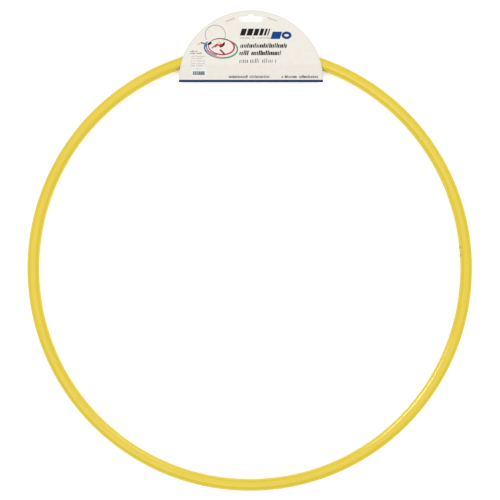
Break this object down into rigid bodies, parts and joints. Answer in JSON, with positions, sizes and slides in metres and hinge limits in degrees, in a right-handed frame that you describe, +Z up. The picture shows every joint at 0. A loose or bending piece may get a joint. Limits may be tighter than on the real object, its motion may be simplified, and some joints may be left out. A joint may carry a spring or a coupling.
{
  "type": "rhythmic hoop",
  "caption": "Gymnastics hoop: a round ring of hollow plastic tube with a folded, stapled header card that slides round it.",
  "frame": {"origin": "the ring's centre, on the surface that the hoop lies on", "axes": "+Z up along the ring's axis, +Y from the ring's centre towards the header card, +X to the right as the card's print reads"},
  "size_m": [0.6, 0.6483, 0.0176],
  "materials": {
    "hoop_plastic": "glossy extruded plastic, lightly scuffed",
    "weld_plastic": "scraped weld, duller than the tube",
    "plug_plastic": "plain moulded plastic",
    "card_board": "coated board, printed on one side",
    "staple_steel": "galvanised wire"
  },
  "bodies": {
    "hoop": {"hoop_tube": "hoop_plastic", "weld_seam": "weld_plastic", "joint_plug": "plug_plastic"},
    "card": {"header_card": "card_board", "staple_left": "staple_steel", "staple_right": "staple_steel"}
  },
  "joints": [
    {"name": "card_slide", "type": "hinge", "parent": "hoop", "child": "card", "pos_m": [0, 0, 0.0088], "axis": [0, 0, 1], "continuous": true}
  ]
}
